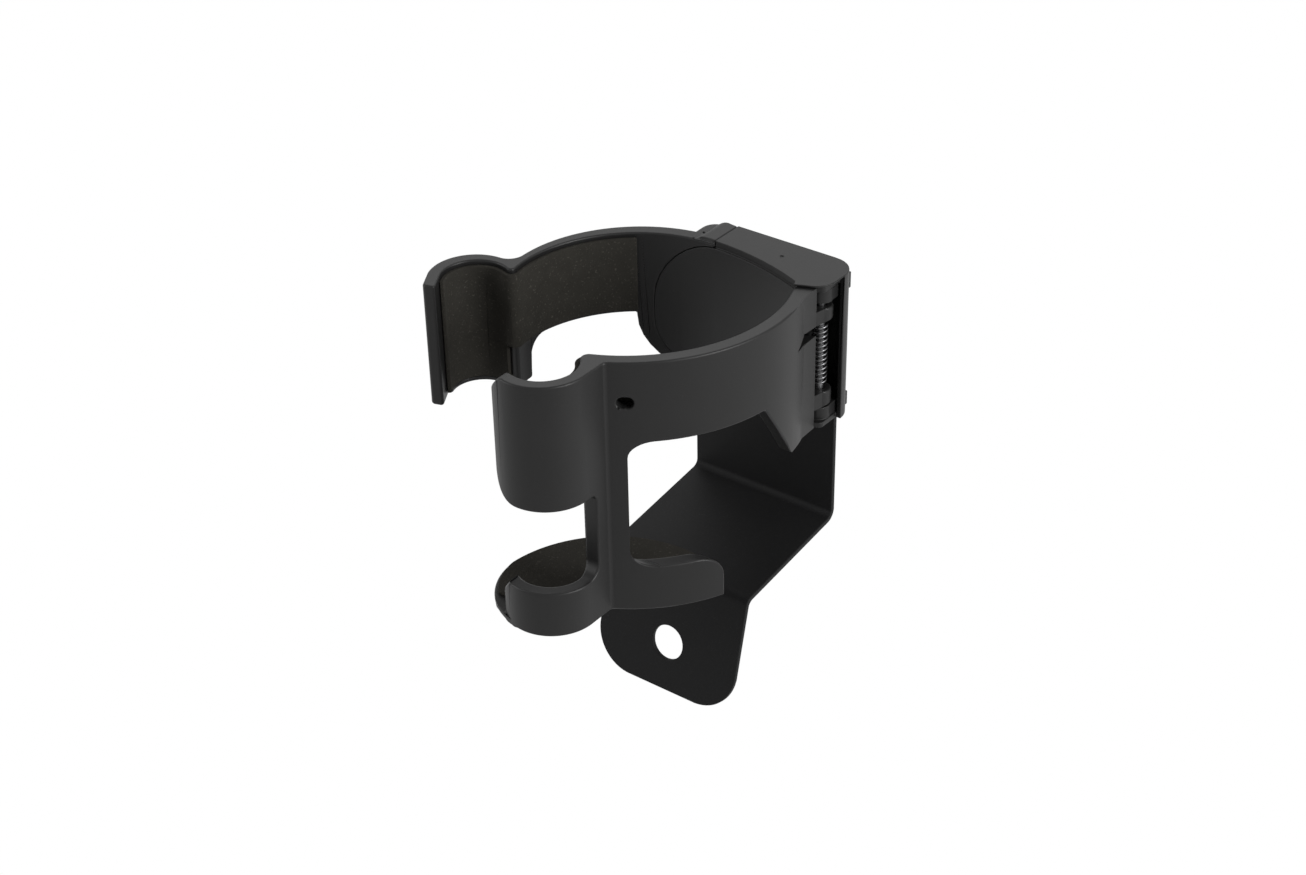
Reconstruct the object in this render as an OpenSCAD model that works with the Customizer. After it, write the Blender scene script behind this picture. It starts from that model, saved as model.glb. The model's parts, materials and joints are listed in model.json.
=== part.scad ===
// Drink holder for a vehicle cabin: two curved grip arms on a small hinge housing,
// carried by a folded steel bracket that is bolted down through one hole.
// The holder is drawn with x = 0 on the bracket's centre line, y = 0 on the back of the
// housing and z = 0 on its top, and is then moved so that the bolt hole is the origin.
// The cup stands in front of the housing, towards minus y.

/* [Bracket] */
// Width of the folded sheet
bracket_w = 46; // [42:0.5:50]
// Thickness of the sheet
sheet_t = 1.5; // [1:0.1:2]
// Inner radius of both folds
fold_r = 2; // [1:0.1:3]
// Depth of the upper fold below the top of the housing
shelf_drop = 80.3; // [79:0.1:90]
// Length of the sloping shelf, corner to corner
shelf_len = 40.7; // [38:0.1:46]
// Fall of the shelf from level, in degrees
shelf_slope = 7.2; // [4:0.1:10]
// Lean of the tab from upright, in degrees
tab_lean = 14.4; // [5:0.1:20]
// Length of the tab from its fold
tab_len = 35.6; // [30:0.1:45]
// Corner radius at the free end of the tab
tab_corner_r = 12; // [5:0.5:14]
// Distance of the bolt hole from the fold
hole_from_fold = 21.6; // [17:0.1:23]
// Radius of the bolt hole
bolt_hole_r = 5; // [3:0.1:6]
// Depth of the bracket's upper edge below the top of the housing
bracket_top_drop = 4.5; // [2:0.5:7]
// Corner radius at the upper edge of the bracket
bracket_corner_r = 3; // [1:0.5:4]

/* [Housing] */
// Height of the housing, top plate to bottom flange
housing_h = 43; // [42:0.1:46]
// Thickness of the top plate
top_plate_t = 2.6; // [2:0.1:3.2]
// Thickness of the bottom flange
flange_t = 1.5; // [1:0.1:2]
// Place of the seam between the housing and the fixed arm
seam_x = -9.2; // [-10:0.1:-8.5]
// Place of the housing's right side
side_x = 28.9; // [28.9:0.1:31]
// Outer radius of the housing's back right corner
side_corner_r = 6.7; // [5:0.1:7]
// Thickness of the back wall and the side wall at the hinge
side_wall_t = 1.3; // [1.1:0.1:1.4]
// Distance of the side wall's front edge from the back
side_wall_reach = 7; // [6.8:0.1:9]
// Radius of the gently curved rest face
rest_r = 77; // [70:1:90]
// Thickness of the rest panel in front of the fixed arm
panel_t = 1.9; // [1.4:0.1:2]
// Left end of the rest panel
panel_left = -26.2; // [-27:0.1:-24]
// Right end of the rest panel
panel_right = 20.3; // [19.6:0.1:20.5]
// Depth of the rest panel's upper edge
panel_drop = 2; // [1.5:0.1:2.4]
// Straight part of the rest panel's left edge, between its two rounded corners
panel_straight = 6; // [3:0.5:12]
// Share of the rest that the upper corner takes
panel_top_share = 0.55; // [0.4:0.01:0.6]
// Step between the rest face and the top plate's front edge
rim_step = 0.6; // [0.4:0.1:1]
// Left wall of the hinge bay
bay_left = 19.1; // [18.6:0.1:19.4]
// Thickness of the top plate's lip, which reaches over the swing arm's root
lip_t = 0.55; // [0.4:0.05:0.6]
// Radius of the lip round the hinge
lip_r = 6.3; // [6:0.1:6.35]

/* [Hinge] */
// Distance of the hinge axis from the bracket's centre line
hinge_x = 23.9; // [23.7:0.1:24]
// Distance of the hinge axis in front of the housing's back
hinge_y = -10.2; // [-10.4:0.1:-10]
// Radius of the hinge knuckles
knuckle_r = 3.3; // [3:0.05:3.35]
// Radius of the hinge pin
pin_r = 1.25; // [1:0.05:1.4]
// Running clearance of the pin in its bores
pin_clearance = 0.05; // [0.02:0.01:0.1]
// Height of the pin's head
pin_head_h = 0.9; // [0.6:0.1:1.2]
// Radius of the pin's head
pin_head_r = 2.2; // [2:0.1:2.6]
// Depth of the underside of the housing's upper knuckle
upper_fixed_end = 6.7; // [5.5:0.1:7.5]
// Depth of the top of the arm's upper knuckle
upper_arm_top = 8.2; // [8:0.1:9]
// Depth of the underside of the arm's upper knuckle
upper_arm_end = 12.2; // [11.5:0.1:12.6]
// Height of the top of the arm's lower knuckle above the housing's bottom
lower_knuckle_top = 9.9; // [9:0.1:10]
// Height of the underside of the arm's lower knuckle above the housing's bottom
lower_knuckle_end = 5.4; // [5:0.1:6]
// Play between the arm's lower knuckle and the housing's
knuckle_gap = 0.3; // [0.2:0.05:0.5]

/* [Spring] */
// Middle radius of the spring's coil
coil_r = 1.9; // [1.9:0.05:2.1]
// Radius of the spring's wire
wire_r = 0.3; // [0.2:0.02:0.32]
// Depth of the coil's first turn
coil_top = 13.7; // [13.4:0.1:14]
// Height of the coil's last turn above the housing's bottom
coil_rise = 11.5; // [11:0.1:13]
// Number of turns
coil_turns = 13; // [9:1:14]
// Length of the leg that pushes the arm
arm_leg_len = 9; // [8:0.1:9.5]
// Length of the leg that leans on the housing
housing_leg_len = 7.5; // [5:0.1:8]
// Play round the spring's legs
leg_play = 0.15; // [0.1:0.01:0.25]

/* [Arms] */
// Depth of both arms' upper edge below the top of the housing
arm_drop = 0.85; // [0.8:0.05:1.6]
// Height of the fixed arm's grip band
fixed_band_h = 24.2; // [21:0.1:25]
// Height of the swing arm's grip band
swing_band_h = 22.9; // [20:0.1:24]
// Height of the arms' tips
tip_h = 35.8; // [32:0.1:36.5]
// Height of the arms' roots above the housing's bottom
root_rise = 0.3; // [0.2:0.1:1]

/* [Fixed arm] */
// Outer radius of the fixed arm
fixed_r_out = 36.5; // [36.2:0.1:37]
// Inner radius of the fixed arm
fixed_r_in = 33.9; // [33.5:0.1:34.2]
// Forward shift of the inner radius, which thins the arm towards its tip
fixed_taper = 1.7; // [1.5:0.1:2]
// Outer radius of the fixed arm's tip
fixed_tip_r_out = 12; // [11.6:0.1:12.4]
// Inner radius of the fixed arm's tip
fixed_tip_r_in = 9.2; // [8.9:0.1:9.6]
// Length of the straight end of the fixed arm's tip
fixed_tip_end = 6.8; // [4:0.1:8]
// Radius of the outer notch between the fixed arm and its tip
fixed_notch_r = 4; // [3:0.1:6]
// Radius of the cusp inside the fixed arm
fixed_cusp_r = 1.2; // [0.8:0.1:2]
// Distance from the back to the step between band and tip
fixed_step_y = -45.4; // [-47:0.1:-44]
// Width of the hood that covers the corner behind the fixed arm
hood_w = 6.6; // [5.5:0.1:7]
// Radius of the hood's back corner
hood_r = 4.2; // [3:0.1:4.8]
// Rounding of the hood's upper left edge
hood_top_r = 3; // [1:0.5:4]
// Thickness of the back plate behind the housing
back_plate_t = 2; // [1.6:0.1:2.4]

/* [Swing arm] */
// Outer radius of the swing arm
swing_r_out = 46.4; // [46.2:0.1:46.8]
// Thickness of the swing arm's wall
swing_wall = 4; // [3.6:0.1:4.2]
// Outer radius of the swing arm's tip
tip_r_out = 12.7; // [12.3:0.1:13]
// Thickness of the tip's wall
tip_wall = 3.6; // [3.2:0.1:3.9]
// Radius of the cusp inside the swing arm
swing_cusp_r = 2.2; // [1.5:0.1:2.6]
// Depth of the lower band's upper edge
low_band_top = 61.2; // [58:0.1:64]
// Depth of the lower band's underside
low_band_end = 74.5; // [73:0.1:75]
// Thickness of the base plate
base_t = 1.5; // [1.2:0.1:2]
// Radius of the base plate's inner edge
base_r = 35; // [34:0.1:36]
// Radius of the base plate's lobe under the tip
lobe_r = 20.2; // [19.6:0.1:20.6]
// Distance from the back to the post's right edge
post_right_y = -73; // [-73.6:0.1:-72]
// Distance from the back to the post's left edge
post_left_y = -80.4; // [-82:0.1:-79.5]
// Distance from the back to the lower band's right end
low_band_y = -53.7; // [-58:0.1:-52]
// Distance from the back to the point of the root
root_tip_y = -28.6; // [-30:0.1:-27]
// Distance from the back to where the root runs into the band
root_foot_y = -41; // [-43:0.1:-39]
// Length of the pointed relief beside the upper knuckle
relief_len = 11.5; // [9:0.1:12.5]
// Height of the pointed relief
relief_h = 2.6; // [2:0.1:3]
// Depth of the pointed relief
relief_depth = 1.8; // [1:0.1:2]

/* [Pads] */
// Thickness of the arm pads
pad_t = 1.2; // [0.8:0.1:1.6]
// Margin between a pad and the edges of its arm
pad_margin = 1.3; // [1:0.1:2]
// Thickness of the base pad
base_pad_t = 1; // [0.6:0.1:1.5]
// Gap filled by the pads' adhesive
glue_t = 0.05; // [0.02:0.01:0.1]

/* [Screws] */
// Radius of a screw's shank
screw_r = 1.25; // [1:0.05:1.4]
// Radius of a screw's head
screw_head_r = 2.4; // [2.2:0.1:2.8]
// Height of a screw's head
screw_head_h = 1.6; // [1.2:0.1:2]
// Length of a screw's shank
screw_len = 10.5; // [8:0.5:11]
// Clearance of the shank in the sheet
screw_clearance = 0.35; // [0.2:0.05:0.5]
// Depth of the upper pair of screws
screw_high = 11; // [9:0.5:13]
// Height of the lower pair of screws above the housing's bottom
screw_rise = 11; // [8:0.5:14]
// Place of the right pair of screws
screw_right_x = 14; // [12:0.5:16]

/* [Hidden] */
$fn = 96;

plastic = "#3a3a3b";
plastic_dark = "#303031";
foam = "#262624";
steel_black = "#202021";
spring_steel = "#a8a9ab";
zinc = "#8f9194";

// Far beyond every piece, for cutting shapes
beyond = 150;
// Play in the seam between the housing and the fixed arm
seam_play = 0.03;
// Angle between the points of a drawn arc
arc_step = 3;
// Small overlap of shapes that are joined
lap = 0.5;

hinge = [hinge_x, hinge_y];
lower_arm_top = housing_h - lower_knuckle_top;
lower_arm_end = housing_h - lower_knuckle_end;
coil_end = housing_h - coil_rise;
root_drop = housing_h - root_rise;
screw_low = housing_h - screw_rise;
// The bracket stands a little to the left of the housing's middle
bracket_x = -0.45;
fixed_c = [-10.4, -43.2];
fixed_in_c = fixed_c - [0, fixed_taper];
rest_y = fixed_in_c.y + fixed_r_in;
fixed_tip_c = [-50, -60.6];
fixed_tip_in_c = [-49.1, -60.8];
fixed_tip_turn = 207;
// The swing arm's round wall passes these two places, whatever its radius
swing_root = [24.45, -16.55];
swing_foot = [6.3, -75.1];
swing_c = circle_centre(swing_foot, swing_root, swing_r_out);
swing_r_in = swing_r_out - swing_wall;
swing_root_angle = angle_of(swing_root - swing_c);
// End of the swing arm's wall at the hinge, where it flares outwards
flare = hinge + [2.1, -5.1];
flare_len = 5;
tip_c = [-7.8, -84];
tip_r_in = tip_r_out - tip_wall;
tip_end_angle = -131;
low_tip_end_angle = -126;
post_out_x = tip_c.x + tip_r_out;
base_c = [6.7, -80];
lobe_c = base_c + polar(base_r - lobe_r + 0.38, 165.5);
base_end_angle = 80;
hood_x = seam_x - hood_w;
flange_top = housing_h - flange_t;
fold_corner = [-shelf_len * cos(shelf_slope), -shelf_drop - shelf_len * sin(shelf_slope)];
bolt_hole = [
    bracket_x,
    fold_corner.x - hole_from_fold * sin(tab_lean),
    fold_corner.y - hole_from_fold * cos(tab_lean)
];
screw_left_x = seam_x - hood_w / 2;
root_foot_x = panel_left - 4.3;

// General shapes

function unit(v) = v / norm(v);

function angle_of(v) = atan2(v.y, v.x);

function turn_between(a, b) = let (d = b - a) d > 180 ? d - 360 : d < -180 ? d + 360 : d;

// One corner of an outline, rounded to its radius
function corner(before, at, after, r, steps = 8) =
    r == 0 ? [at] :
    let (
        u = unit(before - at),
        w = unit(after - at),
        half = acos(u * w) / 2,
        centre = at + unit(u + w) * r / sin(half),
        from = at + u * r / tan(half) - centre,
        to = at + w * r / tan(half) - centre,
        start = atan2(from.y, from.x),
        sweep = turn_between(start, atan2(to.y, to.x))
    )
    [for (i = [0 : steps]) centre + r * [cos(start + sweep * i / steps), sin(start + sweep * i / steps)]];

// An outline from corners that are written as [x, y, radius]
function rounded(corners) =
    let (n = len(corners), flat = [for (c = corners) [c[0], c[1]]])
    [for (i = [0 : n - 1])
        each corner(flat[(i + n - 1) % n], flat[i], flat[(i + 1) % n], corners[i][2])];

function polar(r, a) = r * [cos(a), sin(a)];

// Centre of the circle through two places; it lies to the left of the way from a to b
function circle_centre(a, b, r) =
    let (d = b - a, u = unit(d))
    (a + b) / 2 + sqrt(r * r - d * d / 4) * [-u.y, u.x];

// Points along an arc from one angle to another
function arc(centre, r, from, to) =
    let (n = max(1, ceil(abs(to - from) / arc_step)))
    [for (i = [0 : n]) centre + polar(r, from + (to - from) * i / n)];

// The same, by the shorter way round to the second angle
function short_arc(centre, r, from, to) = arc(centre, r, from, from + turn_between(from, to));

function reversed(list) = [for (i = [len(list) - 1 : -1 : 0]) list[i]];

// Inside of two round walls and of the rounded cusp between them, drawn in by some depth
function inner_path(c1, r1, c2, r2, side, r, from, to, depth = 0) =
    let (q = crossing(c1, r1 + r, c2, r2 + r, side))
    concat(
        short_arc(c1, r1 - depth, from, angle_of(q - c1)),
        short_arc(q, r + depth, angle_of(c1 - q), angle_of(c2 - q)),
        arc(c2, r2 - depth, angle_of(q - c2), to)
    );

// An outline's points as rounded() takes them, with one radius
function with_radius(point, r) = [point.x, point.y, r];

// Lifts a plan outline between two depths below the top
module between(top, end) {
    translate([0, 0, -end]) linear_extrude(end - top) children();
}

// Where two circles cross, on the left (1) or the right (-1) of the way from the first to the second
function crossing(c1, r1, c2, r2, side) =
    let (
        d = norm(c2 - c1),
        u = (c2 - c1) / d,
        a = (r1 * r1 - r2 * r2 + d * d) / (2 * d),
        h = sqrt(r1 * r1 - a * a)
    )
    c1 + a * u + side * h * [-u.y, u.x];

// Draws an outline of distance from the back and height, and carries it across
module across(from = -beyond, to = beyond) {
    translate([from, 0, 0]) rotate([90, 0, 90]) linear_extrude(to - from) children();
}

// Draws an outline of side place and height, and carries it from the back to the front
module front_to_back(back = lap, front = -beyond) {
    translate([0, back, 0]) rotate([90, 0, 0]) linear_extrude(back - front) children();
}

// A vertical round bar between two depths
module bar(at, r, top, end) {
    translate([at.x, at.y, -end]) cylinder(r = r, h = end - top);
}

module in_place() {
    translate(-bolt_hole) children();
}

// The bracket, one folded sheet

// Where a bend's corner lies on a line that runs beside both of its legs
function beside(at, way_in, way_out, depth) =
    let (a = [way_in.y, -way_in.x], b = [way_out.y, -way_out.x])
    at + depth * (a + b) / (1 + a * b);

// Side outline of the sheet, in distance towards the cup and height
module sheet_profile() {
    down = [0, -1];
    shelf = polar(1, -shelf_slope);
    tab = polar(1, tab_lean - 90);
    top = [0, -bracket_top_drop];
    upper = [0, -shelf_drop];
    lower = upper + shelf_len * shelf;
    end = lower + tab_len * tab;
    upper_back = beside(upper, down, shelf, sheet_t);
    lower_back = beside(lower, shelf, tab, sheet_t);
    polygon(rounded([
        with_radius(top, 0),
        with_radius(upper, fold_r),
        with_radius(lower, fold_r + sheet_t),
        with_radius(end, 0),
        with_radius(end + sheet_t * [tab.y, -tab.x], 0),
        with_radius(lower_back, fold_r),
        with_radius(upper_back, fold_r + sheet_t),
        with_radius(top - [sheet_t, 0], 0)
    ]));
}

// The outer face of the tab, with y running down it from the fold
module on_tab() {
    translate([0, fold_corner.x, fold_corner.y]) rotate([-90 - tab_lean, 0, 0]) children();
}

// What a rounded corner leaves of a square one; the arc's centre is at the origin
module corner_waste(r) {
    slant = 0.12;
    polygon(concat([[r + 1, -1 / slant]], arc([0, 0], r, 2 * arc_step, 90 - 2 * arc_step),
        [[-1 / slant, r + 1], [r + 1, r + 1]]));
}

module bracket() {
    color(steel_black) in_place() difference() {
        translate([bracket_x, 0, 0]) difference() {
            rotate([90, 0, -90]) linear_extrude(bracket_w, center = true) sheet_profile();
            on_tab() translate([0, hole_from_fold, -1]) cylinder(r = bolt_hole_r, h = sheet_t + 2);
            for (side = [0, 1]) mirror([side, 0, 0]) {
                on_tab() translate([bracket_w / 2 - tab_corner_r, tab_len - tab_corner_r, -1])
                    linear_extrude(sheet_t + 2) corner_waste(tab_corner_r);
                front_to_back(2 * sheet_t, -sheet_t)
                    translate([bracket_w / 2 - bracket_corner_r, -bracket_top_drop - bracket_corner_r])
                    corner_waste(bracket_corner_r);
            }
        }
        screw_bores(screw_r + screw_clearance, 2 * sheet_t, -sheet_t);
    }
}

// Screws that hold bracket, fixed arm and housing together

module at_screw(x, drop) {
    translate([x, 0, -drop]) children();
}

module screw_bores(r, back, front) {
    for (x = [screw_left_x, screw_right_x], drop = [screw_high, screw_low])
        at_screw(x, drop) translate([0, back, 0]) rotate([90, 0, 0]) cylinder(r = r, h = back - front);
}

module screw() {
    difference() {
        union() {
            rotate([90, 0, 0]) cylinder(r = screw_r, h = screw_len - sheet_t);
            translate([0, sheet_t, 0]) rotate([90, 0, 0]) cylinder(r = screw_r, h = sheet_t);
            translate([0, sheet_t + screw_head_h, 0]) rotate([90, 0, 0])
                cylinder(r1 = screw_head_r * 0.8, r2 = screw_head_r, h = screw_head_h);
        }
        for (a = [0, 90]) rotate([0, a, 0])
            translate([-screw_head_r * 0.55, sheet_t + screw_head_h * 0.45, -0.3])
            cube([screw_head_r * 1.1, screw_head_h, 0.6]);
    }
}

module screw_upper_left() {
    color(zinc) in_place() at_screw(screw_left_x, screw_high) screw();
}

module screw_upper_right() {
    color(zinc) in_place() at_screw(screw_right_x, screw_high) screw();
}

module screw_lower_left() {
    color(zinc) in_place() at_screw(screw_left_x, screw_low) screw();
}

module screw_lower_right() {
    color(zinc) in_place() at_screw(screw_right_x, screw_low) screw();
}

// The cup's side of the rest face, grown towards the back by some depth
module cup_side(depth) {
    left = arc(fixed_in_c, fixed_r_in + depth, 180, 90);
    right = arc([fixed_in_c.x, rest_y - rest_r], rest_r + depth, 89, 50);
    polygon(concat(left, right, [[right[len(right) - 1].x, -beyond], [left[0].x, -beyond]]));
}

// The hinge housing

// Plan of the top plate and the bottom flange from one side place to the right end
module plate_plan(left) {
    rim_x = side_x - side_wall_t - 0.2;
    difference() {
        polygon(rounded([
            [left, 0, 0],
            [side_x, 0, side_corner_r],
            [side_x, -side_wall_reach, 0],
            [rim_x, -side_wall_reach, 0],
            [rim_x, hinge_y - 3.6, 1.5],
            [panel_right, rest_y - 6.5, 0],
            [left, rest_y - 6.5, 0]
        ]));
        cup_side(rim_step);
    }
}

// Thin lip of the top plate, rounded about the hinge, which covers the swing arm's root
module lip_plan() {
    lip_c = hinge + [-1.4, -0.6];
    polygon(concat(
        [[bay_left, rest_y - 3], [panel_right + 0.6, rest_y - 7.3]],
        arc(lip_c, lip_r, -75, 0),
        [[lip_c.x + lip_r, -side_wall_reach + 1], [bay_left, -side_wall_reach + 1]]
    ));
}

module panel_outline(grow) {
    round_h = flange_top - panel_drop - panel_straight;
    polygon(rounded([
        [panel_right, -panel_drop + grow, 0],
        [panel_left - grow, -panel_drop + grow, round_h * panel_top_share + grow],
        [panel_left - grow, -flange_top - grow, round_h * (1 - panel_top_share) + grow],
        [panel_right, -flange_top - grow, 0]
    ]));
}

module rest_panel(grow = 0) {
    intersection() {
        between(0, housing_h) difference() {
            cup_side(panel_t + grow);
            cup_side(-grow);
        }
        front_to_back(0, -30) panel_outline(grow);
    }
}

// Solid body of the housing between the seam and the hinge bay, cored from behind
module housing_core() {
    rib = 2.2;
    core_front = rest_y + 3.5;
    core_left = seam_x + rib;
    core_right = screw_right_x - 3.2;
    difference() {
        between(top_plate_t - lap, housing_h) difference() {
            translate([seam_x, rest_y - 12]) square([bay_left - seam_x, 12 - rest_y - back_plate_t]);
            cup_side(rim_step);
        }
        for (i = [0, 1])
            translate([core_left, core_front, -flange_top + rib + i * (flange_top - top_plate_t - rib) / 2])
                cube([core_right - core_left, beyond, (flange_top - top_plate_t - rib) / 2 - rib]);
    }
}

// Back and side wall round the hinge
module hinge_bay_wall() {
    between(0, flange_top + lap) difference() {
        polygon(rounded([
            [bay_left - lap, 0, 0],
            [side_x, 0, side_corner_r],
            [side_x, -side_wall_reach, 0],
            [bay_left - lap, -side_wall_reach, 0]
        ]));
        polygon(rounded([
            [bay_left, -side_wall_t, 0],
            [side_x - side_wall_t, -side_wall_t, side_corner_r - side_wall_t],
            [side_x - side_wall_t, -side_wall_reach - 1, 0],
            [bay_left, -side_wall_reach - 1, 0]
        ]));
    }
}

module fixed_knuckle(top, end) {
    bar(hinge, knuckle_r, top, end);
    between(top, end) translate([hinge_x - knuckle_r + 0.2, hinge_y])
        square([2 * knuckle_r - 0.4, -hinge_y - side_wall_t + lap]);
}

// Rib that the spring's lower leg leans on
module spring_rest() {
    rib_right = hinge_x - coil_r - wire_r - leg_play;
    between(coil_end - 1.5, coil_end + 1.5)
        translate([bay_left - lap, hinge_y + housing_leg_len - 2.5])
        square([rib_right - bay_left + lap, 1.8]);
}

module pin_bore(top) {
    bar(hinge, pin_r + pin_clearance, top, housing_h + 1);
}

// Small round mark that the mould leaves in the top plate
module mould_mark() {
    bar([10, -7.6], 0.5, -1, 0.3);
}

module hinge_housing() {
    color(plastic_dark) in_place() difference() {
        union() {
            between(0, top_plate_t) plate_plan(seam_x);
            between(0, lip_t) lip_plan();
            between(flange_top, housing_h) plate_plan(bay_left - lap);
            rest_panel();
            housing_core();
            hinge_bay_wall();
            fixed_knuckle(top_plate_t - lap, upper_fixed_end);
            fixed_knuckle(lower_arm_end + knuckle_gap, flange_top + lap);
            spring_rest();
        }
        pin_bore(top_plate_t / 2);
        screw_bores(screw_r + pin_clearance, 1, -screw_len);
        mould_mark();
    }
}

// The fixed arm, moulded with the hood and the back plate

module fixed_arm_plan() {
    cut_x = seam_x - seam_play;
    notch = crossing(fixed_c, fixed_r_out + fixed_notch_r, fixed_tip_c, fixed_tip_r_out + fixed_notch_r, -1);
    root_out = acos((cut_x - fixed_c.x) / fixed_r_out);
    root_in = acos((cut_x - fixed_in_c.x) / fixed_r_in);
    end_out = fixed_tip_c + polar(fixed_tip_r_out, fixed_tip_turn);
    end_in = fixed_tip_in_c + polar(fixed_tip_r_in, fixed_tip_turn);
    way = polar(fixed_tip_end, fixed_tip_turn + 93);
    polygon(concat(
        short_arc(fixed_c, fixed_r_out, root_out, angle_of(notch - fixed_c)),
        short_arc(notch, fixed_notch_r, angle_of(fixed_c - notch), angle_of(fixed_tip_c - notch)),
        arc(fixed_tip_c, fixed_tip_r_out, angle_of(notch - fixed_tip_c), fixed_tip_turn),
        corner(end_out, end_out + way, end_in + way, 1.2),
        corner(end_out + way, end_in + way, end_in, 0.8),
        reversed(inner_path(fixed_in_c, fixed_r_in, fixed_tip_in_c, fixed_tip_r_in, -1, fixed_cusp_r,
            root_in, fixed_tip_turn))
    ));
}

// Side view of the fixed arm: band, tip and full height root
module fixed_arm_side() {
    band_end = arm_drop + fixed_band_h;
    tip_end = arm_drop + tip_h;
    polygon(rounded([
        [lap, -arm_drop, 0],
        [lap, -band_end, 0],
        [fixed_step_y, -band_end, 5.5],
        [fixed_step_y, -tip_end, 1],
        [-90, -tip_end, 0],
        [-90, -arm_drop, 0]
    ]));
}

module root_outline() {
    polygon(rounded([
        [root_foot_x, -arm_drop, 0],
        [root_foot_x, -root_drop, 17],
        [seam_x, -root_drop, 0],
        [seam_x, -arm_drop, 0]
    ]));
}

module hood_plan() {
    difference() {
        polygon(rounded([
            [seam_x - seam_play, 0, 0],
            [hood_x, 0, hood_r],
            [hood_x, rest_y - 1, 0],
            [seam_x - seam_play, rest_y - 1, 0]
        ]));
        cup_side(rim_step);
    }
}

module hood() {
    intersection() {
        between(-1, housing_h + 1) hood_plan();
        front_to_back(1, -30) polygon(rounded([
            [seam_x + 1, 0, 0],
            [hood_x, 0, hood_top_r],
            [hood_x, -housing_h, 1],
            [seam_x + 1, -housing_h, 0]
        ]));
    }
}

module fixed_arm() {
    plate_right = bay_left - lap - 0.1;
    color(plastic) in_place() difference() {
        union() {
            intersection() {
                between(arm_drop, root_drop) fixed_arm_plan();
                union() {
                    across() fixed_arm_side();
                    front_to_back(0, -22) root_outline();
                }
            }
            hood();
            between(top_plate_t + 0.1, housing_h)
                translate([seam_x - hood_w / 2, -back_plate_t + 0.05])
                square([plate_right - seam_x + hood_w / 2, back_plate_t - 0.05]);
        }
        rest_panel(glue_t);
        screw_bores(screw_r + pin_clearance, 1, -screw_len - 1);
    }
}

// The swing arm, moulded in one with its post, lower band and base plate

// Outside of the swing arm from its root to its tip; the post stands straight beside the tip
function swing_outer_path() =
    let (
        r = 1.5,
        run = post_out_x + r - swing_c.x,
        f = swing_c + [run, -sqrt((swing_r_out + r) * (swing_r_out + r) - run * run)],
        flare_angle = swing_root_angle - flare_len / swing_r_out * 180 / PI
    )
    concat(
        [flare],
        arc(swing_c, swing_r_out, flare_angle, angle_of(f - swing_c)),
        arc(f, r, angle_of(swing_c - f), 180),
        arc(tip_c, tip_r_out, 0, tip_end_angle)
    );

module swing_arm_plan() {
    polygon(concat(
        swing_outer_path(),
        arc(tip_c + polar(tip_r_in + tip_wall / 2, tip_end_angle), tip_wall / 2,
            tip_end_angle - arc_step, tip_end_angle - 180 + arc_step),
        reversed(inner_path(swing_c, swing_r_in, tip_c, tip_r_in, 1, swing_cusp_r,
            swing_root_angle, tip_end_angle))
    ));
}

// Side view of the swing arm with the window beside the post and the notch under the tip
module swing_arm_side() {
    band_end = arm_drop + swing_band_h;
    tip_end = arm_drop + tip_h;
    polygon(rounded([
        [lap, -arm_drop, 0],
        [-beyond, -arm_drop, 0],
        [-beyond, -tip_end, 0],
        [post_left_y, -tip_end, 2],
        [post_left_y, -low_band_top, 4],
        [-beyond, -low_band_top, 0],
        [-beyond, -low_band_end, 0],
        [low_band_y, -low_band_end, 0],
        [low_band_y, -low_band_top, 7],
        [post_right_y, -low_band_top, 5],
        [post_right_y, -band_end, 4.5],
        [root_foot_y, -band_end, 1.5],
        [root_tip_y, -root_drop, 1.2],
        [lap, -root_drop, 0]
    ]));
}

// Rounds the end of the tip or of the lower band, seen from the front; its upper corner slopes
module end_round(x, top, end, slope, r_end) {
    width = 5 + slope.x + r_end;
    front_to_back(tip_c.y - 4, -beyond) difference() {
        translate([x - 5, -end - 1]) square([width, end - top + 2]);
        polygon(rounded([
            [x + slope.x, -top, 3],
            [x, -top - slope.y, 3],
            [x, -end, r_end],
            [x + 2 * width, -end, 0],
            [x + 2 * width, -top, 0]
        ]));
    }
}

// The base plate follows the arm's outside and swells into a lobe beyond the lower band's end
module base_plan() {
    outside = [for (p = swing_outer_path()) if (p.x > tip_c.x + 0.6 && p.y < low_band_y - 0.6) p];
    polygon(concat(outside, base_edge(0, -97, base_end_angle)));
}

// Edge of the base plate from under the tip, round the lobe and along the back
function base_edge(inset, from, to) =
    let (q = crossing(base_c, base_r - inset, lobe_c, lobe_r - inset, 1))
    concat(
        arc(lobe_c, lobe_r - inset, from, angle_of(q - lobe_c) - (angle_of(q - lobe_c) > 0 ? 360 : 0)),
        short_arc(base_c, base_r - inset, angle_of(q - base_c), to)
    );

module arm_knuckle(top, end) {
    inside = 0.3;
    bar(hinge, knuckle_r, top, end);
    between(top, end) polygon([
        swing_c + polar(swing_r_in + inside, swing_root_angle - 2),
        flare - [inside, 2 * inside],
        hinge + [knuckle_r - inside, 0],
        hinge - [knuckle_r - inside, 0]
    ]);
}

// Long oval hole through the swing arm beside the post
module oval_hole() {
    hole_angle = angle_of(swing_foot - swing_c) + 3.1 / swing_r_out * 180 / PI;
    translate([swing_c.x, swing_c.y, -12.3]) rotate([0, 0, hole_angle])
        translate([swing_r_in - 2, 0, 0]) rotate([0, 90, 0]) for (side = [-0.5, 0.5])
        translate([0, side, 0]) cylinder(r = 1.55, h = swing_wall + 4);
}

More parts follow.
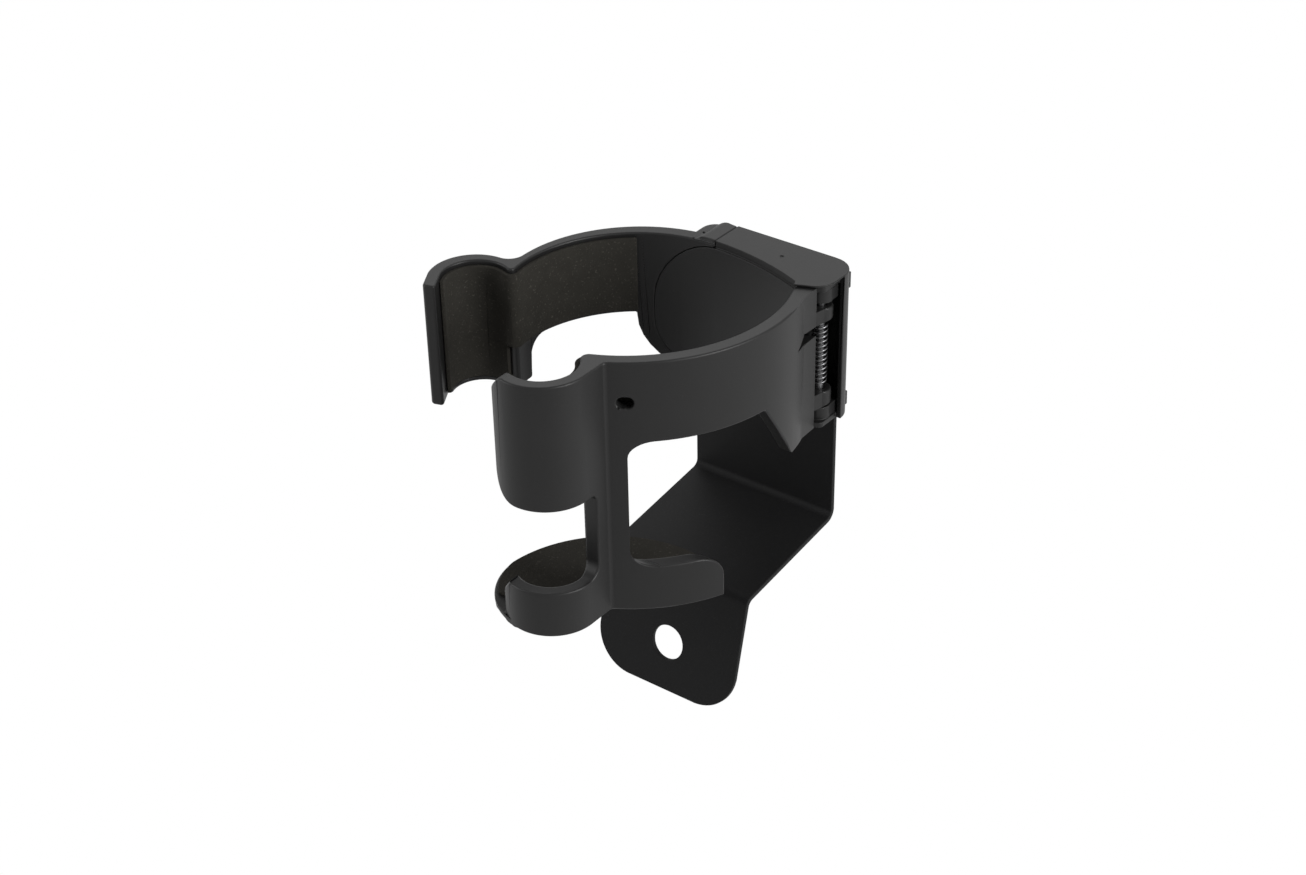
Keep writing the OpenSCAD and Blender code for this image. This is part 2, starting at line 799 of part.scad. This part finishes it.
// Pointed relief that runs forward from the spring's window
module relief() {
    mouth_y = hinge_y - 4;
    intersection() {
        between(upper_arm_end - 1, upper_arm_end + relief_h + 1)
            difference() {
                translate(swing_c) circle(swing_r_out + 9);
                translate(swing_c) circle(swing_r_out - relief_depth);
            }
        across(hinge_x - knuckle_r, beyond) polygon([
            [mouth_y, -upper_arm_end],
            [mouth_y, -upper_arm_end - relief_h],
            [mouth_y - relief_len * 0.5, -upper_arm_end - relief_h],
            [mouth_y - relief_len, -upper_arm_end - relief_h * 0.8],
            [mouth_y - relief_len * 0.55, -upper_arm_end + 0.5]
        ]);
    }
}

// Blind hole in the root for the spring's upper leg
module leg_hole() {
    translate([hinge_x - coil_r, hinge_y, -coil_top]) rotate([90, 0, 0])
        cylinder(r = wire_r + leg_play, h = arm_leg_len + 0.4);
}

module swing_arm() {
    tip_end = arm_drop + tip_h;
    color(plastic) in_place() difference() {
        union() {
            difference() {
                intersection() {
                    between(arm_drop, low_band_end) swing_arm_plan();
                    across() swing_arm_side();
                }
                end_round(tip_c.x + polar(tip_r_out, tip_end_angle).x, arm_drop, tip_end, [4.6, 5], 8);
                end_round(tip_c.x + polar(tip_r_out, low_tip_end_angle).x, low_band_top, low_band_end,
                    [3.2, 4], 0);
            }
            between(low_band_end - base_t, low_band_end) base_plan();
            arm_knuckle(upper_arm_top, upper_arm_end);
            arm_knuckle(lower_arm_top, lower_arm_end);
        }
        pin_bore(0);
        oval_hole();
        relief();
        leg_hole();
    }
}

// Foam pads glued inside the arms and on the base plate

module lining(c1, r1, c2, r2, side, r, from, to) {
    polygon(concat(
        inner_path(c1, r1, c2, r2, side, r, from, to, glue_t),
        reversed(inner_path(c1, r1, c2, r2, side, r, from, to, pad_t))
    ));
}

module fixed_arm_pad() {
    pad_top = arm_drop + pad_margin;
    band_end = arm_drop + fixed_band_h - pad_margin;
    tip_end = arm_drop + tip_h - pad_margin;
    root_angle = 180 - acos((fixed_in_c.x - root_foot_x - 1.2) / (fixed_r_in - pad_t));
    cusp = crossing(fixed_in_c, fixed_r_in, fixed_tip_in_c, fixed_tip_r_in, -1);
    color(foam) in_place() intersection() {
        between(pad_top, tip_end) lining(fixed_in_c, fixed_r_in, fixed_tip_in_c, fixed_tip_r_in,
            -1, fixed_cusp_r, root_angle, fixed_tip_turn + 14);
        across() polygon([
            [0, -pad_top],
            [0, -band_end],
            [cusp.y + 0.4, -band_end],
            [cusp.y + 0.4, -tip_end],
            [-beyond, -tip_end],
            [-beyond, -pad_top]
        ]);
    }
}

module swing_arm_pad() {
    pad_top = arm_drop + pad_margin;
    band_end = arm_drop + swing_band_h - pad_margin;
    tip_end = arm_drop + tip_h - pad_margin;
    color(foam) in_place() intersection() {
        between(pad_top, tip_end) lining(swing_c, swing_r_in, tip_c, tip_r_in, 1, swing_cusp_r,
            0, tip_end_angle + 16);
        across() polygon([
            [0, -pad_top],
            [0, -band_end],
            [post_right_y - pad_margin, -band_end],
            [post_right_y - pad_margin, -tip_end],
            [-beyond, -tip_end],
            [-beyond, -pad_top]
        ]);
    }
}

module base_pad() {
    pad_end = low_band_end - base_t - glue_t;
    margin = 0.4;
    right_angle = asin((low_band_y - 1.2 - swing_c.y) / swing_r_in);
    color(foam) in_place() between(pad_end - base_pad_t, pad_end) polygon(concat(
        inner_path(swing_c, swing_r_in, tip_c, tip_r_in, 1, swing_cusp_r, right_angle,
            low_tip_end_angle - 12, margin),
        base_edge(1, -137, base_end_angle)
    ));
}

// The hinge pin and the torsion spring

module hinge_pin() {
    color(zinc) in_place() {
        bar(hinge, pin_r, top_plate_t / 2 + 0.1, housing_h);
        bar(hinge, pin_head_r, housing_h, housing_h + pin_head_h);
    }
}

// Middle line of the spring: leg in the arm, coil, leg on the housing
coil_steps = 20;
coil_count = coil_turns * coil_steps;
coil_line = [
    for (i = [0 : coil_count])
        let (a = 180 - 360 * i / coil_steps, drop = coil_top + (coil_end - coil_top) * i / coil_count)
        [hinge_x + coil_r * cos(a), hinge_y + coil_r * sin(a), -drop]
];
spring_line = concat(
    [[hinge_x - coil_r, hinge_y - arm_leg_len, -coil_top]],
    coil_line,
    [[hinge_x - coil_r, hinge_y + housing_leg_len, -coil_end]]
);

// Corner i of a wire section at step n of a line; the section stands across the way
function wire_point(line, n, i, r, sides) =
    let (
        last = len(line) - 1,
        way = unit(line[min(n + 1, last)] - line[max(n - 1, 0)]),
        flat = unit(cross(way, [0, 0, 1])),
        up = cross(flat, way),
        a = 360 * i / sides
    )
    line[n] + r * (cos(a) * flat + sin(a) * up);

module wire(line, r, sides) {
    count = len(line);
    points = [for (n = [0 : count - 1], i = [0 : sides - 1]) wire_point(line, n, i, r, sides)];
    skin = [
        for (n = [0 : count - 2], i = [0 : sides - 1])
            let (j = (i + 1) % sides)
            [n * sides + i, (n + 1) * sides + i, (n + 1) * sides + j, n * sides + j]
    ];
    ends = [
        [for (i = [0 : sides - 1]) i],
        [for (i = [sides - 1 : -1 : 0]) (count - 1) * sides + i]
    ];
    polyhedron(points = points, faces = concat(skin, ends), convexity = 12);
}

module torsion_spring() {
    color(spring_steel) in_place() wire(spring_line, wire_r, 8);
}

bracket();
hinge_housing();
fixed_arm();
swing_arm();
fixed_arm_pad();
swing_arm_pad();
base_pad();
hinge_pin();
torsion_spring();
screw_upper_left();
screw_upper_right();
screw_lower_left();
screw_lower_right();
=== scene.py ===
import json
import math

import bmesh
import bpy
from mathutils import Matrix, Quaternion, Vector
from mathutils.bvhtree import BVHTree

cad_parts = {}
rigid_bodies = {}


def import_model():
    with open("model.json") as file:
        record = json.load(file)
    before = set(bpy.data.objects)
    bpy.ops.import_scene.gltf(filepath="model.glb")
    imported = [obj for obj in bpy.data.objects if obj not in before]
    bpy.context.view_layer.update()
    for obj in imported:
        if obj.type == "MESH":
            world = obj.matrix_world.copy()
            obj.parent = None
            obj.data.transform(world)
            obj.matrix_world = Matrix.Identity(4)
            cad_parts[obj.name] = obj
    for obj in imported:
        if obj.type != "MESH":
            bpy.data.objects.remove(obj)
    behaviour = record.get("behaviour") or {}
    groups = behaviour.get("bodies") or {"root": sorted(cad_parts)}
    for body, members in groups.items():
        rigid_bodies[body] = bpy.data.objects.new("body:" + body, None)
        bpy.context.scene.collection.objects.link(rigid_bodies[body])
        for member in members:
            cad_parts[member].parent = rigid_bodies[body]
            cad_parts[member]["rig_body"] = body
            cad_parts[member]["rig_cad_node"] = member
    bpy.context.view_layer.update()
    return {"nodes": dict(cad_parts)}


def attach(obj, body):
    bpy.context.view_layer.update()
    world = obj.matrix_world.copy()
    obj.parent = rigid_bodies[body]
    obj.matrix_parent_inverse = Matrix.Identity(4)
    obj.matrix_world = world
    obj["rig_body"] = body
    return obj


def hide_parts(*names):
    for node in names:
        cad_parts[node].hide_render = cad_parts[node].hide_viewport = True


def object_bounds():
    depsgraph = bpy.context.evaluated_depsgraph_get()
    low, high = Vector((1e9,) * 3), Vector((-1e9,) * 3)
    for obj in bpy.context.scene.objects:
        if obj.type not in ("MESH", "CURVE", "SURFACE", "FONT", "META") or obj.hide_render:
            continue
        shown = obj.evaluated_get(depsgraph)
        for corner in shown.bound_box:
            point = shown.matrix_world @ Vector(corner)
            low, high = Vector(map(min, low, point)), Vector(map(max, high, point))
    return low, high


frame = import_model()
nodes = frame["nodes"]


# The camera stands where the photo was taken from: in front of the hinge side, a little over it.
# Its place comes from lines of the photo that are upright, level or round on the real part.

def turn_towards(aim, place):
    """The turn that lets a camera or a lamp at a place look at its aim."""
    way = Vector(aim) - Vector(place)
    return way.to_track_quat("-Z", "Y")


def place_camera():
    looks_at = (0.0361, -0.0514, 0.1064)
    stands_at = (0.3078, -0.4042, 0.3879)
    tilt = math.radians(-1.15)
    data = bpy.data.cameras.new("camera")
    data.sensor_fit = "HORIZONTAL"
    data.sensor_width = 36.0
    data.lens = 63.9
    data.clip_start = 0.01
    data.clip_end = 10.0
    camera = bpy.data.objects.new("camera", data)
    bpy.context.scene.collection.objects.link(camera)
    camera.location = stands_at
    camera.rotation_mode = "QUATERNION"
    camera.rotation_quaternion = turn_towards(looks_at, stands_at) @ Quaternion((0, 0, 1), tilt)
    bpy.context.scene.camera = camera


place_camera()


# The floor is plain and white, just under the lowest edge of the bracket's tab, and the room is
# a soft white tent. What the camera sees behind the part is pure white, as in the photo.

class Maths:
    """A socket that can be reckoned with in plain Python, and that can feed any other node."""

    def __init__(self, tree, socket):
        self.tree = tree
        self.socket = socket

    def put(self, place, value):
        """Links a wrapped socket to a node's input, or writes a plain value there."""
        if isinstance(value, Maths):
            self.tree.links.new(value.socket, place)
        else:
            place.default_value = value

    def node(self, kind, settings=None, in_order=(), **by_name):
        """A node of any kind, its settings made first. Values go to its inputs in their order,
        or by name, with underscores for spaces."""
        made = self.tree.nodes.new("ShaderNode" + kind)
        for name, value in (settings or {}).items():
            setattr(made, name, value)
        for place, value in zip(made.inputs, in_order):
            self.put(place, value)
        for name, value in by_name.items():
            self.put(made.inputs[name.replace("_", " ")], value)
        return Maths(self.tree, made.outputs[0])

    def reckon(self, operation, *values):
        return self.node("Math", {"operation": operation}, values)

    def __add__(self, other):
        return self.reckon("ADD", self, other)

    __radd__ = __add__

    def __sub__(self, other):
        return self.reckon("SUBTRACT", self, other)

    def __rsub__(self, other):
        return self.reckon("SUBTRACT", other, self)

    def __mul__(self, other):
        return self.reckon("MULTIPLY", self, other)

    __rmul__ = __mul__

    def __truediv__(self, other):
        return self.reckon("DIVIDE", self, other)

    def __rtruediv__(self, other):
        return self.reckon("DIVIDE", other, self)

    def above(self, edge, width):
        """0 below the edge, 1 above it, and soft over the width."""
        low = edge - width / 2
        scaled = (self - low) / width
        return scaled.reckon("MINIMUM", scaled.reckon("MAXIMUM", scaled, 0.0), 1.0)


def new_material(name):
    """A material's tree, its surface shader and its object coordinates."""
    material = bpy.data.materials.new(name)
    material.use_nodes = True
    tree = material.node_tree
    shader = tree.nodes["Principled BSDF"]
    coordinates = tree.nodes.new("ShaderNodeTexCoord")
    return material, tree, shader, Maths(tree, coordinates.outputs["Object"])


def seen_plainly(tree):
    """1 for rays from the camera, and for those that metal and glass send on."""
    path = tree.nodes.new("ShaderNodeLightPath")
    rays = [Maths(tree, path.outputs[name]) for name in
            ("Is Camera Ray", "Is Glossy Ray", "Is Transmission Ray")]
    total = rays[0] + rays[1] + rays[2]
    return total.reckon("MINIMUM", total, 1.0)


def lay_floor():
    """A floor that is pale grey to the light and pure white to the camera."""
    width = 6.0
    gap = 0.0004
    grey = 0.66
    floor_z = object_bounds()[0][2] - gap
    bpy.ops.object.select_all(action="DESELECT")
    bpy.ops.mesh.primitive_plane_add(size=width, location=(0, 0, floor_z))
    floor = bpy.context.object
    floor.name = "floor"
    material = bpy.data.materials.new("floor_white")
    material.use_nodes = True
    tree = material.node_tree
    shader = tree.nodes["Principled BSDF"]
    shader.inputs["Base Color"].default_value = (grey, grey, grey, 1)
    shader.inputs["Roughness"].default_value = 0.7
    glow = tree.nodes.new("ShaderNodeEmission")
    glow.inputs["Color"].default_value = (1, 1, 1, 1)
    glow.inputs["Strength"].default_value = 1.0
    mix = tree.nodes.new("ShaderNodeMixShader")
    tree.links.new(seen_plainly(tree).socket, mix.inputs[0])
    tree.links.new(shader.outputs[0], mix.inputs[1])
    tree.links.new(glow.outputs[0], mix.inputs[2])
    tree.links.new(mix.outputs[0], tree.nodes["Material Output"].inputs["Surface"])
    floor.data.materials.append(material)


def put_up_tent():
    """A white world that lights the part dimly and is pure white to the camera."""
    on_the_part = 0.20
    world = bpy.data.worlds.new("white_tent")
    bpy.context.scene.world = world
    world.use_nodes = True
    tree = world.node_tree
    background = tree.nodes["Background"]
    strength = on_the_part + (1.0 - on_the_part) * seen_plainly(tree)
    tree.links.new(strength.socket, background.inputs["Strength"])
    background.inputs["Color"].default_value = (1, 1, 1, 1)


def softbox(name, place, size, power):
    """A rectangular lamp that looks at the middle of the part."""
    aim = (0.0, 0.0, 0.08)
    data = bpy.data.lights.new(name, "AREA")
    data.shape = "RECTANGLE"
    data.size, data.size_y = size
    data.energy = power
    light = bpy.data.objects.new(name, data)
    light.location = place
    light.rotation_mode = "QUATERNION"
    light.rotation_quaternion = turn_towards(aim, place)
    bpy.context.scene.collection.objects.link(light)


lay_floor()
put_up_tent()
softbox("overhead", (-0.30, 0.50, 0.80), size=(0.8, 0.6), power=2.7)
softbox("front_left", (-0.75, -0.65, 0.35), size=(0.5, 0.8), power=4.8)
softbox("right", (0.95, 0.0, 0.40), size=(0.35, 0.7), power=12.0)
bpy.context.scene.view_settings.view_transform = "Standard"


# The bracket is one strip of 1.5 mm sheet steel, punched, folded twice and powder coated black.
# The coat is satin, with a fine orange peel and a few specks of dust.

# Edges that turn by more than SHARP are rounded, and shading breaks at those that pass SMOOTH.
SHARP = math.radians(35)
SMOOTH = math.radians(38)


def copy_node(name):
    """A free copy of a CAD node, with its doubled corners merged and its flat faces made whole."""
    same_corner = 0.00003
    flat = math.radians(0.6)
    source = nodes[name]
    bpy.ops.object.select_all(action="DESELECT")
    source.select_set(True)
    bpy.context.view_layer.objects.active = source
    bpy.ops.object.duplicate()
    piece = bpy.context.object
    piece.name = name + "_piece"
    piece.parent = None
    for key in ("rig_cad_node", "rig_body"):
        if key in piece:
            del piece[key]
    bpy.ops.object.mode_set(mode="EDIT")
    bpy.ops.mesh.select_all(action="SELECT")
    bpy.ops.mesh.remove_doubles(threshold=same_corner)
    bpy.ops.mesh.dissolve_limited(angle_limit=flat)
    bpy.ops.mesh.normals_make_consistent(inside=False)
    bpy.ops.object.mode_set(mode="OBJECT")
    return piece


def round_by_share(piece, width, segments, share):
    """Rounds each sharp edge by its share of the width. Corners that this throws far off the
    old surface are set back on it."""
    too_far = 0.75 * width
    shape = bmesh.new()
    shape.from_mesh(piece.data)
    surface = BVHTree.FromBMesh(shape)
    weight = shape.edges.layers.float.new("bevel_weight_edge")
    for edge in shape.edges:
        if len(edge.link_faces) == 2 and edge.calc_face_angle() > SHARP:
            middle = (edge.verts[0].co + edge.verts[1].co) / 2
            edge[weight] = share(middle) if share else 1.0
    shape.to_mesh(piece.data)
    shape.free()
    bevel = piece.modifiers.new("rounded_edges", "BEVEL")
    bevel.width = width
    bevel.segments = segments
    bevel.limit_method = "WEIGHT"
    bevel.use_clamp_overlap = False
    bpy.ops.object.modifier_apply(modifier=bevel.name)
    for vertex in piece.data.vertices:
        place, _, _, distance = surface.find_nearest(vertex.co)
        if distance > too_far:
            vertex.co = place


def rework(name, width=0.0, share=None, segments=3):
    """A clean copy of a CAD node with softly rounded edges, which stands for the node.
    share gives the part of the width that an edge gets, from the edge's middle."""
    piece = copy_node(name)
    if width > 0:
        round_by_share(piece, width, segments, share)
    bpy.ops.object.shade_smooth_by_angle(angle=SMOOTH)
    if width > 0:
        normals = piece.modifiers.new("even_normals", "WEIGHTED_NORMAL")
        normals.keep_sharp = True
        normals.weight = 60
        bpy.ops.object.modifier_apply(modifier=normals.name)
    return piece


def give(piece, material):
    """The material becomes the only one of the piece."""
    piece.data.materials.clear()
    piece.data.materials.append(material)


def stand_for(piece, name, body):
    """The piece moves with the body and takes the node's place."""
    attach(piece, body)
    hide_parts(name)


def powder_coat():
    material, tree, shader, where = new_material("powder_coat")
    peel = where.node("TexNoise", Vector=where, Scale=1400.0, Detail=3.0)
    patch = where.node("TexNoise", Vector=where, Scale=38.0, Detail=2.0)
    dust = where.node("TexNoise", Vector=where, Scale=5200.0, Detail=1.0).above(edge=0.70, width=0.05)
    shade = 0.0075 + 0.004 * patch + 0.02 * dust
    tint = where.node("CombineColor", Red=shade, Green=shade, Blue=shade * 1.02)
    tree.links.new(tint.socket, shader.inputs["Base Color"])
    rough = 0.46 + 0.10 * patch + 0.05 * peel
    tree.links.new(rough.socket, shader.inputs["Roughness"])
    bump = where.node("Bump", Height=peel, Distance=0.00004, Strength=0.55)
    tree.links.new(bump.socket, shader.inputs["Normal"])
    shader.inputs["Specular IOR Level"].default_value = 0.08
    return material


bracket = rework("bracket", width=0.0003, segments=2)
give(bracket, powder_coat())
stand_for(bracket, "bracket", "holder")


# The hinge housing is one black moulding: top plate, rest panel with a D-shaped front, curved
# side wall, knuckles and bottom flange. It is screwed on from behind.

def moulded_plastic(name, lightness, roughness):
    """Satin black plastic with the fine grain of an etched mould and a little lint."""
    material, tree, shader, where = new_material(name)
    grain = where.node("TexNoise", Vector=where, Scale=3400.0, Detail=2.0)
    cloud = where.node("TexNoise", Vector=where, Scale=46.0, Detail=3.0)
    speck = where.node("TexVoronoi", Vector=where, Scale=520.0)
    lint = (1.0 - speck).above(edge=0.975, width=0.02)
    shade = lightness * (0.85 + 0.3 * cloud) + 0.05 * lint
    tint = where.node("CombineColor", Red=shade * 1.01, Green=shade, Blue=shade)
    tree.links.new(tint.socket, shader.inputs["Base Color"])
    rough = roughness + 0.08 * cloud + 0.06 * grain
    tree.links.new(rough.socket, shader.inputs["Roughness"])
    bump = where.node("Bump", Height=grain, Distance=0.00002, Strength=0.5)
    tree.links.new(bump.socket, shader.inputs["Normal"])
    shader.inputs["Specular IOR Level"].default_value = 0.22
    return material


housing = rework("hinge_housing", width=0.0002)
give(housing, moulded_plastic("housing_plastic", lightness=0.009, roughness=0.38))
stand_for(housing, "hinge_housing", "holder")


# The left arm is one moulding with the hood behind the seam and the plate behind the housing.
# It doesn't move. Its edges are generously rounded and catch the light.

TIP_CENTRE = Vector((-0.04865, -0.015049, 0.0))


def round_all(piece, width, segments):
    """Rounds every sharp edge of a simple piece, and shades it smooth."""
    bevel = piece.modifiers.new("rounded_edges", "BEVEL")
    bevel.width = width
    bevel.segments = segments
    bevel.angle_limit = SHARP
    bpy.ops.object.modifier_apply(modifier=bevel.name)
    bpy.ops.object.shade_smooth_by_angle(angle=SMOOTH)


def tip_strip(name, inner, outer, low, high, start, end, rounding):
    """A strip bent round the middle of the left tip, made by spinning its upright section."""
    degrees_a_step = 3.0
    bpy.ops.object.select_all(action="DESELECT")
    bpy.ops.mesh.primitive_plane_add(size=1.0, location=(0, 0, 0))
    strip = bpy.context.object
    strip.name = name
    across = Vector((math.cos(math.radians(start)), math.sin(math.radians(start)), 0.0))
    for vertex in strip.data.vertices:
        radius = outer if vertex.co.x > 0 else inner
        height = high if vertex.co.y > 0 else low
        vertex.co = TIP_CENTRE + across * radius + Vector((0.0, 0.0, height))
    bpy.ops.object.mode_set(mode="EDIT")
    bpy.ops.mesh.select_all(action="SELECT")
    bpy.ops.mesh.spin(steps=round(abs(end - start) / degrees_a_step),
                      angle=math.radians(start - end), center=TIP_CENTRE, axis=(0.0, 0.0, 1.0))
    bpy.ops.mesh.select_all(action="SELECT")
    bpy.ops.mesh.normals_make_consistent(inside=False)
    bpy.ops.object.mode_set(mode="OBJECT")
    round_all(strip, rounding, segments=2)
    return strip


def join_to(piece, part):
    """The part becomes one mesh with the piece."""
    bpy.ops.object.select_all(action="DESELECT")
    part.select_set(True)
    piece.select_set(True)
    bpy.context.view_layer.objects.active = piece
    bpy.ops.object.join()


def fixed_arm_share(middle):
    """Rounded all over, but not where the hood's foot meets the plate, with its short edges."""
    hood_foot = Vector((-0.0145, 0.0458, 0.1036))
    spared = 0.0045
    return 0.0 if (middle - hood_foot).length < spared else 1.0


def hood_side():
    """The hood's wide round left side: an upright cylinder whose front is drawn out to a flat
    face with a tighter left corner, and whose right side is cut off inside the hood."""
    centre = Vector((-0.0131, 0.0414, 0.08625))
    radius = 0.0043
    height = 0.0384
    right = 0.0029
    front = -0.005075
    draw_out = 1.18
    corner = 0.25
    corner_start = -0.0040
    bpy.ops.object.select_all(action="DESELECT")
    bpy.ops.mesh.primitive_cylinder_add(vertices=64, radius=radius, depth=height, location=(0, 0, 0))
    side = bpy.context.object
    side.name = "hood_side"
    for vertex in side.data.vertices:
        x, y, z = vertex.co
        if y < 0 and x >= 0:
            y = draw_out * y
        elif y < 0:
            x = corner * x - (1 - corner) * radius
            y = corner * y + corner_start
        vertex.co = Vector((min(x, right), max(y, front), z)) + centre
    round_all(side, width=0.0013, segments=4)
    return side


fixed_arm = rework("fixed_arm", width=0.0006, share=fixed_arm_share)
join_to(fixed_arm, hood_side())
# The tip's pad stands on a narrow ledge at the wall's lower edge.
join_to(fixed_arm, tip_strip("ledge", inner=0.00815, outer=0.0097, low=0.06971, high=0.07088,
                             start=204.0, end=76.0, rounding=0.0003))
give(fixed_arm, moulded_plastic("fixed_arm_plastic", lightness=0.009, roughness=0.36))
stand_for(fixed_arm, "fixed_arm", "holder")


# The right arm swings: grip band, tip, post, lower band and base plate are one moulding.
# A torsion spring holds it closed.

def swing_arm_share(middle):
    """Rounded all over, but not where the edges are very short: at the relief beside the
    hinge, at the wall's end and at two places of the lower band."""
    relief_and_wall_end = ((0.0279, 0.0200), (0.0264, 0.0304))
    spared_there = 0.0035
    band_places = ((-0.0207, -0.0478, 0.0333), (-0.0119, -0.0507, 0.0333))
    spared_on_band = 0.0025
    for x, y in relief_and_wall_end:
        if math.hypot(middle.x - x, middle.y - y) < spared_there:
            return 0.0
    for place in band_places:
        if (middle - Vector(place)).length < spared_on_band:
            return 0.0
    return 1.0


swing_arm = rework("swing_arm", width=0.0006, share=swing_arm_share)
give(swing_arm, moulded_plastic("swing_arm_plastic", lightness=0.010, roughness=0.36))
stand_for(swing_arm, "swing_arm", "arm")


# The pads are strips of closed-cell foam with glue on the back, cut out and pressed into the arms.
# Their cut face is dull, very dark and slightly speckled.

def foam_material():
    material, tree, shader, where = new_material("foam")
    cells = where.node("TexVoronoi", Vector=where, Scale=2300.0)
    mottle = where.node("TexNoise", Vector=where, Scale=240.0, Detail=4.0)
    fleck = where.node("TexNoise", Vector=where, Scale=1700.0, Detail=2.0).above(edge=0.66, width=0.08)
    shade = 0.0190 + 0.011 * mottle + 0.022 * fleck
    tint = where.node("CombineColor", Red=shade * 1.06, Green=shade, Blue=shade * 0.86)
    tree.links.new(tint.socket, shader.inputs["Base Color"])
    rough = 0.86 + 0.1 * mottle
    tree.links.new(rough.socket, shader.inputs["Roughness"])
    bump = where.node("Bump", Height=cells, Distance=0.00012, Strength=0.7)
    tree.links.new(bump.socket, shader.inputs["Normal"])
    shader.inputs["Specular IOR Level"].default_value = 0.08
    return material


def draw_up_fin(pad):
    """Draws a thin fin that the solid has under the ridge up into the band's part of the pad."""
    fin_top = 0.0822
    inside_pad = 0.0828
    first_angle = 40.0
    last_angle = 100.0
    reach = 0.013
    for vertex in pad.data.vertices:
        from_tip = vertex.co - TIP_CENTRE
        turned = math.degrees(math.atan2(from_tip.y, from_tip.x))
        if vertex.co.z < fin_top and first_angle < turned < last_angle and from_tip.xy.length < reach:
            vertex.co.z = inside_pad


foam = foam_material()
for pad_name, body in (("fixed_arm_pad", "holder"), ("swing_arm_pad", "arm"), ("base_pad", "arm")):
    pad = rework(pad_name, width=0.00025, segments=2)
    if pad_name == "fixed_arm_pad":
        draw_up_fin(pad)
        # The low part of the pad runs on until just short of the ridge between tip and band.
        join_to(pad, tip_strip("tip_foam", inner=0.00801, outer=0.00914, low=0.07099, high=0.0836,
                               start=127.0, end=68.5, rounding=0.0002))
    give(pad, foam)
    stand_for(pad, pad_name, body)


# The hinge pin is a turned steel pin, pushed in from below through the knuckles of housing and
# arm. Its head sits under the flange.

def bare_steel(name, shade, roughness):
    material, tree, shader, where = new_material(name)
    scratch = where.node("TexNoise", Vector=where, Scale=2600.0, Detail=2.0)
    patch = where.node("TexNoise", Vector=where, Scale=300.0, Detail=2.0)
    level = shade * (0.8 + 0.4 * patch)
    tint = where.node("CombineColor", Red=level, Green=level, Blue=level * 1.02)
    tree.links.new(tint.socket, shader.inputs["Base Color"])
    rough = roughness + 0.12 * scratch
    tree.links.new(rough.socket, shader.inputs["Roughness"])
    shader.inputs["Metallic"].default_value = 1.0
    return material


give(nodes["hinge_pin"], bare_steel("pin_steel", shade=0.22, roughness=0.3))


# The torsion spring is bright drawn wire of 0.6 mm, wound round the pin. One leg is in the arm
# and the other leans on the housing.

spring = rework("torsion_spring")
give(spring, bare_steel("spring_wire", shade=0.13, roughness=0.3))
stand_for(spring, "torsion_spring", "holder")


# Four plated self-tapping screws with cross slots go through the bracket from behind. They hold
# bracket, left arm and housing together.

zinc = bare_steel("zinc", shade=0.3, roughness=0.34)
for name in ("screw_upper_left", "screw_upper_right", "screw_lower_left", "screw_lower_right"):
    give(nodes[name], zinc)
